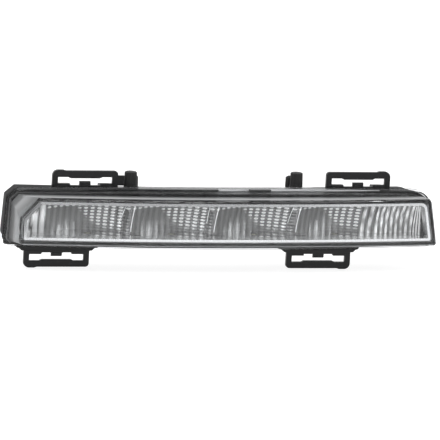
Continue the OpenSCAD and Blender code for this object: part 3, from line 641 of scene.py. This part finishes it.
# %% Black faces around the flange
EDGE_FROM, EDGE_TO = -1.5 * MM, -0.7 * MM
LENGTH_TO_HEIGHT = 8
cover = bpy.data.objects["lens_cover_rounded"].data
cover.materials.append(MATERIALS["edge_mask"])
masked = 0
for face in cover.polygons:
    sideways = face.normal.x * face.center.x / LENGTH_TO_HEIGHT
    outward = sideways + face.normal.z * face.center.z > 0
    level = abs(face.normal.y) < 0.05
    if outward and level and EDGE_FROM < depth_of(face.center) < EDGE_TO:
        face.material_index = 1
        masked += 1
print("masked faces", masked)

# %% [markdown]
# ## Closed outlines
# Several pieces follow the outline of the lamp. An outline is made from its corners: they are
# joined to one face, an inset moves it inward, and a vertex bevel rounds each corner. Then the
# long edges are subdivided and every point is laid on the plan curve. A curve object would give
# round corners too, but two insets of one face always run parallel. A bridge joins two outlines.

# %% Outline helpers
LONG_EDGE = 60
LONG_CUTS = 48
CORNER_SEGMENTS = 5
SMALLEST_RADIUS = 0.5


def outline(corners, radii, depth, inward=0.0):
    """A closed loop on the plan curve, moved inward, with a radius for each corner."""
    bm = bmesh.new()
    face = bm.faces.new([bm.verts.new((x, z, 0)) for x, z in corners])
    if inward:
        border = bmesh.ops.inset_region(bm, faces=[face], thickness=inward)["faces"]
        bmesh.ops.delete(bm, geom=border, context="FACES")
    for (x, z), radius in zip(corners, radii):
        corner = min(bm.verts, key=lambda v: (v.co.x - x) ** 2 + (v.co.y - z) ** 2)
        one, two = (e.other_vert(corner).co - corner.co for e in corner.link_edges)
        reach = max(radius - inward, SMALLEST_RADIUS) / math.tan(one.angle(two) / 2)
        bmesh.ops.bevel(bm, geom=[corner], offset=reach, segments=CORNER_SEGMENTS,
                        profile=0.5, affect="VERTICES", material=-1)
    bmesh.ops.delete(bm, geom=list(bm.faces), context="FACES_ONLY")
    long_edges = [e for e in bm.edges if e.calc_length() > LONG_EDGE]
    bmesh.ops.subdivide_edges(bm, edges=long_edges, cuts=LONG_CUTS)
    r = PLAN_R - depth
    for v in bm.verts:
        v.co = Vector((v.co.x, PLAN_R - math.sqrt(r * r - v.co.x ** 2), v.co.y)) * MM
    mesh = bpy.data.meshes.new("outline")
    bm.to_mesh(mesh)
    bm.free()
    return mesh


def bridged(name, rings):
    """One mesh that joins two outlines."""
    bm = bmesh.new()
    for ring in rings:
        bm.from_mesh(ring)
        bpy.data.meshes.remove(ring)
    bmesh.ops.bridge_loops(bm, edges=list(bm.edges))
    bmesh.ops.recalc_face_normals(bm, faces=bm.faces)
    mesh = bpy.data.meshes.new(name)
    bm.to_mesh(mesh)
    bm.free()
    return mesh


print("edges over", LONG_EDGE, "mm get", LONG_CUTS, "cuts, so that they follow the plan curve")

# %% [markdown]
# ## The bond line
# The cover's rib stands in a channel full of sealant. Through the clear flange the sealant shows
# as a grey band between the black outer edge and the black lip of the rim. It is modelled as a
# thin ring against the back of the flange, from two outlines. The black mask of the flange's
# edge runs on behind it as a second, narrower ring. Two bands painted on the back of the cover
# would look much the same, but sealant is a piece of its own, and so each band is one here.

# %% Sealant and mask rings
RIM = [(-161.9, -18.3), (-65, -19.3), (65, -19.3), (161.8, -18.3), (156.8, 21.7), (65, 23.7),
       (-65, 23.7), (-153.9, 21.7), (-159.9, 16.2)]
RIM_RADII = (6, 3, 3, 6, 16, 3, 3, 2.5, 3.5)
BOND_DEPTH = -0.1
MASK_INSET, BOND_INSET, LIP_INSET = 0.25, 1.7, 4.2
ring = bridged("bond_line", [outline(RIM, RIM_RADII, BOND_DEPTH, d)
                             for d in (BOND_INSET, LIP_INSET)])
bond = finish_piece("bond_line", ring, "rim_bond")
ring = bridged("mask_ring", [outline(RIM, RIM_RADII, BOND_DEPTH, d)
                             for d in (MASK_INSET, BOND_INSET)])
mask_ring = finish_piece("mask_ring", ring, "edge_mask")
print("bond line and mask", len(bond.data.polygons), len(ring.polygons), "faces")

# %% [markdown]
# ## The bezel's skirt
# Behind the slanted clear walls at both ends nothing of the black tub shows, because the bezel
# has a skirt that follows the walls outward to the flange. It is a bridge between two outlines,
# one at the face and one at the root, with its wall from a Solidify modifier. A lofted surface
# from a CAD tool would be the same thing.

# %% Two outlines and a bridge
WALL_GAP = 3.0
SKIRT_WALL = 0.4
FACE_DEPTH, ROOT_DEPTH = -14.6, -3.2
FACE = [(-153.0, -15.4), (158.6, -15.4), (152.8, 18.7), (-140.3, 18.7), (-153.0, 3.8)]
ROOT = [(-158.6, -15.4), (159.2, -15.4), (153.4, 18.7), (-152.5, 18.7), (-157.1, 13.3)]
FACE_RADII = (4.5, 4.5, 4.5, 4, 4)
ROOT_RADII = (6, 6, 10, 5, 5)


def bezel_skirt(name):
    """A wall between the outline of the cover's face and the one of its root."""
    front = outline(FACE, FACE_RADII, FACE_DEPTH, WALL_GAP)
    back = outline(ROOT, ROOT_RADII, ROOT_DEPTH, WALL_GAP)
    obj = finish_piece(name, bridged(name, (front, back)), "satin_coating")
    wall = obj.modifiers.new("wall", "SOLIDIFY")
    wall.thickness = SKIRT_WALL * MM
    wall.offset = 0.0
    return obj


skirt = bezel_skirt("bezel_skirt")
print("skirt", len(skirt.data.polygons), "faces")

# %% [markdown]
# ## The bowls
# The reflector has four parabolic bowls side by side, each with its focus where its light source
# is, and a fluted wing at each end. Its upper edge drops at the left, below the cover's slanted
# facet, and a little at the right. The sheet of optics is laid over it, so these functions give
# the depth of the bare bowl and the height of the upper edge with the numbers of the solid.

# %% Bowls and wings
PITCH, COUNT, MIDDLE = 62.3, 4, -6.5
FOCAL, DEEP = 16.0, 24.0
FLOOR_Z, TOP_Z = -10.3, 14.6
WING_SLOPE = 0.1
COLUMNS = 13
LEFT_WING, RIGHT_WING = (4, 4.9), (10, 4.1)  # flutes, and the width of one
LEFT_DROP, LEFT_RISE, LEFT_RUN = 9.5, 14.9, 12.7
RIGHT_DROP, RIGHT_SLOPE = 6, 0.5
wing_left = MIDDLE - COUNT / 2 * PITCH
wing_right = MIDDLE + COUNT / 2 * PITCH
ridge = DEEP - (PITCH / 2) ** 2 / (4 * FOCAL)
reflector_left = wing_left - LEFT_WING[0] * LEFT_WING[1]
flute_switch = wing_right - 2 * PITCH / COLUMNS
reflector_right = flute_switch + RIGHT_WING[0] * RIGHT_WING[1]


def roof(x):
    """The height of the reflector's upper edge."""
    left_fall = (wing_left - LEFT_DROP - x) * LEFT_RISE / LEFT_RUN
    right_fall = (x - reflector_right + RIGHT_DROP) * RIGHT_SLOPE
    return TOP_Z - max(left_fall, right_fall, 0)


def bowl_depth(x, h):
    """The depth of the bare bowl or wing at a height above the reflector's floor."""
    if x < wing_left:
        return ridge - h * h / (4 * FOCAL) + (wing_left - x) * WING_SLOPE
    if x > wing_right:
        return ridge - h * h / (4 * FOCAL) + (x - wing_right) * WING_SLOPE
    middle = wing_left + (min(int((x - wing_left) / PITCH), COUNT - 1) + 0.5) * PITCH
    return DEEP - (h * h + (x - middle) ** 2) / (4 * FOCAL)


print("reflector from", round(reflector_left, 1), "to", round(reflector_right, 1), "mm")

# %% [markdown]
# ## Flutes and pillows
# The bowls carry columns of fluting, and the right half of each bowl is also broken into rows,
# so that it becomes a grid of small pillows. Each pillow throws its own point of light, which
# is what makes the lamp sparkle. The relief is a sine for each column and each row. A
# displacement texture could do the same, but moving the points keeps the shape in the mesh.

# %% Relief of the optics
FLUTE, PILLOW = 0.62, 0.35
ROW = 2.42


def ease(value, low, high):
    """0 below low, 1 above high, and a soft step between them."""
    t = min(max((value - low) / (high - low), 0), 1)
    return t * t * (3 - 2 * t)


def arch(phase):
    """0 in the valleys between two flutes and 1 on their crowns."""
    return abs(math.sin(math.pi * phase))


def flute_phase(x):
    """Where a place is among the flutes; each whole number is a valley."""
    if x < wing_left:
        return (x - reflector_left) / LEFT_WING[1]
    if x > flute_switch:
        return (x - flute_switch) / RIGHT_WING[1]
    return (x - wing_left) / (PITCH / COLUMNS)


def in_wing(x):
    """Whether a place is left or right of the four bowls' own columns."""
    return x < wing_left or x > flute_switch


def bowl_share(x):
    """How far across its bowl a place is, from 0 at the left to 1 at the right."""
    return ((x - wing_left) / PITCH) % 1.0


def optics(x, h):
    """How far the relief stands out of the bare bowl, in millimetres."""
    flute = arch(flute_phase(x))
    if in_wing(x):
        return FLUTE * flute
    across = bowl_share(x)
    top = roof(x) - FLOOR_Z
    pillows = max(ease(across, 0.35, 0.7), ease(h, top - 2 * ROW, top - 1.4 * ROW))
    strong = 0.4 + 0.6 * ease(across, 0.25, 0.6)
    valley = FLUTE * strong * (1 - flute)
    return FLUTE - valley + PILLOW * pillows * arch((top - h) / ROW)


print("relief on a crown", round(optics(wing_left + PITCH / COLUMNS * 9.5, 12.0), 2), "mm")

# %% [markdown]
# ## Where the highlights are painted
# The attribute crown holds the painted highlight, with painted shade between: broad stripes in the
# left wing, stripes that brighten and dim in turn along their height in the right one, dashes
# where a flute crosses a row of pillows, and faint stripes where there are no pillows. The dashes
# begin high at the left of a bowl and reach lower toward its right, where they stop before the
# crest. The top three rows run right through. It could be painted by hand, but here it follows
# from the same numbers as the shape.

# %% Crowns
# Levels of the painted highlight in the wings and the stripes, and the sway of the painted bright
# places.
LEFT_PAINTED_HIGHLIGHT, STRIPE_PAINTED_HIGHLIGHT = 0.78, 0.22
SWAY = 11.0  # millimetres from one bright place to the next along a flute
TOP_ROWS = 3.0


def painted_highlight_of(x, h):
    """The painted highlight, from 0 in a valley painted grey to 1 on a crown painted bright."""
    flute = arch(flute_phase(x))
    if x < wing_left:
        return LEFT_PAINTED_HIGHLIGHT * ease(flute, 0.15, 0.5)
    if x > flute_switch:
        side = math.pi * int(flute_phase(x))
        sway = 0.5 + 0.5 * math.sin(2 * math.pi * h / SWAY + side)
        return ease(flute, 0.5, 0.85) * (0.6 + 0.4 * sway)
    across = bowl_share(x)
    top = roof(x) - FLOOR_Z
    lowest = 0.92 - 0.88 * ease(across, 0.2, 0.72)
    pillows = ease(h / top, lowest - 0.08, lowest + 0.12)
    reached = pillows * (1 - ease(across, 0.91, 0.94))
    rows_on_top = ease(h, top - (TOP_ROWS + 0.1) * ROW, top - (TOP_ROWS - 0.1) * ROW)
    dashes = ease(flute * arch((top - h) / ROW), 0.4, 0.65) * max(reached, rows_on_top)
    stripes = STRIPE_PAINTED_HIGHLIGHT * ease(flute, 0.6, 0.95) * (1 - pillows)
    return max(dashes, stripes)


pillow_x = wing_left + PITCH / COLUMNS * 9.5
print("coating on a pillow", painted_highlight_of(pillow_x, roof(pillow_x) - FLOOR_Z - ROW / 2))

# %% [markdown]
# ## The sheet of optics
# On the real lamp the relief is moulded into the reflector. Here it is a fine grid over the
# solid, a seventh of a millimetre in front of it. Every point of the grid is pushed to its place
# and given its crown. create_grid gives an even net, which a cut-up copy of the solid wouldn't.

# %% The pillow sheet
SKIN = 0.14
PER_MM = 2.6
SHEET_ROWS = 120
END_GAP = 0.05


def pushed_grid(name, columns, rows, shape):
    """A grid whose points are placed by shape(across, up), which gives a crown and a point."""
    bm = bmesh.new()
    bmesh.ops.create_grid(bm, x_segments=columns, y_segments=rows, size=0.5)
    crown = bm.verts.layers.float.new("crown")
    for v in bm.verts:
        v[crown], v.co = shape(v.co.x + 0.5, v.co.y + 0.5)
    mesh = bpy.data.meshes.new(name)
    bm.to_mesh(mesh)
    bm.free()
    obj = finish_piece(name, mesh, "optic_coating", smooth=80.0)
    return obj


def sheet_point(across, up):
    """The crown and the place of a point, from the left end to the right one."""
    x = sheet_left + across * (sheet_right - sheet_left)
    h = up * (roof(x) - FLOOR_Z)
    return painted_highlight_of(x, h), at(x, bowl_depth(x, h) - optics(x, h) - SKIN, FLOOR_Z + h)


sheet_left, sheet_right = reflector_left + END_GAP, reflector_right - END_GAP
sheet_columns = int((sheet_right - sheet_left) * PER_MM)
sheet = pushed_grid("reflector_optics", sheet_columns, SHEET_ROWS, sheet_point)
print("pillow sheet", len(sheet.data.polygons), "faces")

# %% [markdown]
# ## The end cheek
# At the right end the reflector closes against the bezel with a short cheek, fluted like the
# rest, which mirrors the last flutes. It is a grid between the front edge and the sheet, and the
# crown attribute paints a highlight on each of its flutes. Turning the sheet's own edge forward
# would be the other way, but two plain grids are easier to shape than one with a fold.

# %% Right cheek
CHEEK_GRID = (24, 30)
CHEEK_FRONT = -2.0
CHEEK_FLUTES = 3
CHEEK_RELIEF = 0.35
CHEEK_LEAN = 0.6
cheek_x = reflector_right - 0.2


def cheek_point(back, up):
    """The crown and the place of a point, from the cheek's front edge back to the sheet."""
    flute = arch(CHEEK_FLUTES * back)
    h = up * (roof(cheek_x) - FLOOR_Z)
    deep = bowl_depth(cheek_x, h) - SKIN
    x = cheek_x - CHEEK_RELIEF * flute + (1 - back) * CHEEK_LEAN
    depth = CHEEK_FRONT + (deep - CHEEK_FRONT) * back
    # The first value is the painted highlight on the flute's crown.
    return ease(flute, 0.5, 0.8), at(x, depth, FLOOR_Z + h)


cheek = pushed_grid("reflector_end_cheek", *CHEEK_GRID, cheek_point)
print("cheek", len(cheek.data.polygons), "faces")

# %% [markdown]
# ## Crests between the bowls
# Where two bowls meet, the coating runs over a rounded crest that shows as a bright line, and a
# second, finer line leans beside it where the pillows stop. Each is a thin tube laid along the
# surface: a curve with a bevel depth gives its round section, and it is then made a mesh. A
# bevel on the sheet's own edge could give the crest, but not the line beside it. The tubes carry
# a crown of 1 all over, the full painted highlight and painted glint, so they are as bright as the
# brightest pillows.

# %% Crests
CREST_STEPS = 24
CREST_LEAN = (0.6, 2.6)
CREST_SPAN, FINE_SPAN = (0.05, 0.92), (0.3, 0.9)
CREST_RADIUS, FINE_RADIUS = 0.34, 0.26
SECOND_CREST = ((-7.0, -3.6), (-4.4, -4.0), (-4.8, -3.0))


def crest(name, foot_x, head_x, span, radius):
    """A tube from foot to head; the span is the share of the reflector's height it covers."""
    curve = bpy.data.curves.new(name, "CURVE")
    curve.dimensions = "3D"
    curve.bevel_depth = radius * MM
    curve.bevel_resolution = 3
    curve.use_fill_caps = True
    line = curve.splines.new("POLY")
    line.points.add(CREST_STEPS)
    low, high = span
    for i in range(CREST_STEPS + 1):
        t = i / CREST_STEPS
        x = foot_x + (head_x - foot_x) * t
        h = (TOP_Z - FLOOR_Z) * (low + (high - low) * t)
        depth = bowl_depth(x, h) - optics(x, h) - SKIN - radius * 0.5
        line.points[i].co = (*at(x, depth, FLOOR_Z + h), 1)
    holder = bpy.data.objects.new(name, curve)
    scene.collection.objects.link(holder)
    mesh = bpy.data.meshes.new_from_object(holder)
    bpy.data.objects.remove(holder)
    crown = mesh.attributes.new("crown", "FLOAT", "POINT")
    # A crown of 1: the full painted highlight and glint.
    crown.data.foreach_set("value", [1.0] * len(mesh.vertices))
    obj = finish_piece(name, mesh, "optic_coating", smooth=80.0)
    return obj


for i in range(1, COUNT):
    edge = wing_left + i * PITCH
    crest(f"bowl_crest_{i}", edge + CREST_LEAN[0], edge + CREST_LEAN[1], CREST_SPAN, CREST_RADIUS)
    foot, head = SECOND_CREST[i - 1]
    crest(f"fine_crest_{i}", edge + foot, edge + head, FINE_SPAN, FINE_RADIUS)
print("crests", 2 * (COUNT - 1))

# %% [markdown]
# ## Breathers
# A sealed lamp has to breathe as it warms and cools. Two short rubber sleeves do it; each has
# fine upright ribs for grip, a collar at its foot, a rounded crown, and a second leg behind that
# opens downward. Each leg is a cone with many sides, and a cosine around it presses the valleys
# between the ribs in. Cutting the ribs one by one would give the same with more work.

# %% Ribbed breathers
VENT_DEPTH = 12.6
ROOF_Z = 20.4
SIDES_PER_RIB = 6
LEGS = (  # aside, behind, foot and head above the roof, radius at both, ribs, their depth, crown
    (-0.4, 0.0, 0.2, 14.1, 4.9, 4.5, 12, 0.4, 0.9),
    (0.0, 0.0, 0.2, 4.6, 5.6, 4.7, 12, 0.3, 0.5),
    (3.0, 5.2, 2.3, 10.6, 3.3, 3.1, 10, 0.3, 1.6),
)


def ribbed_leg(bm, x, depth, z0, z1, r0, r1, ribs, cut, crown):
    """Add one ribbed leg with a rounded crown to a mesh, in millimetres."""
    new = bmesh.new()
    bmesh.ops.create_cone(new, segments=ribs * SIDES_PER_RIB, radius1=r0, radius2=r1,
                          depth=z1 - z0, cap_ends=True)
    for v in new.verts:
        turn = math.atan2(v.co.y, v.co.x)
        v.co.xy *= 1 - cut * (0.5 + 0.5 * math.cos(ribs * turn)) / r0
    top = max(new.faces, key=lambda f: f.calc_center_median().z)
    bmesh.ops.inset_region(new, faces=[top], thickness=crown)
    for v in top.verts:
        v.co.z += crown * 0.6
    upper = [v for v in new.verts if v.co.z > 0]
    bmesh.ops.translate(new, vec=(0, 0, -crown * 0.6), verts=upper)
    middle = Matrix.Translation((0, depth, (z0 + z1) / 2))
    bmesh.ops.transform(new, matrix=arc_frame(x) @ middle, verts=new.verts)
    part = bpy.data.meshes.new("part")
    new.to_mesh(part)
    new.free()
    bm.from_mesh(part)
    bpy.data.meshes.remove(part)


def breather(name, x, side, node):
    """A breather in place of a solid; side is 1 or -1, where its second leg stands."""
    bm = bmesh.new()
    for aside, behind, foot, head, *section in LEGS:
        ribbed_leg(bm, x + side * aside, VENT_DEPTH + behind, ROOF_Z + foot, ROOF_Z + head,
                   *section)
    bmesh.ops.scale(bm, vec=(MM, MM, MM), verts=bm.verts)
    mesh = bpy.data.meshes.new(name)
    bm.to_mesh(mesh)
    bm.free()
    return finish_piece(name, mesh, "breather_rubber", (node,), smooth=40.0)


breather("breather_left_ribbed", -68.6, 1, "breather_left")
breather("breather_right_ribbed", 56.1, -1, "breather_right")
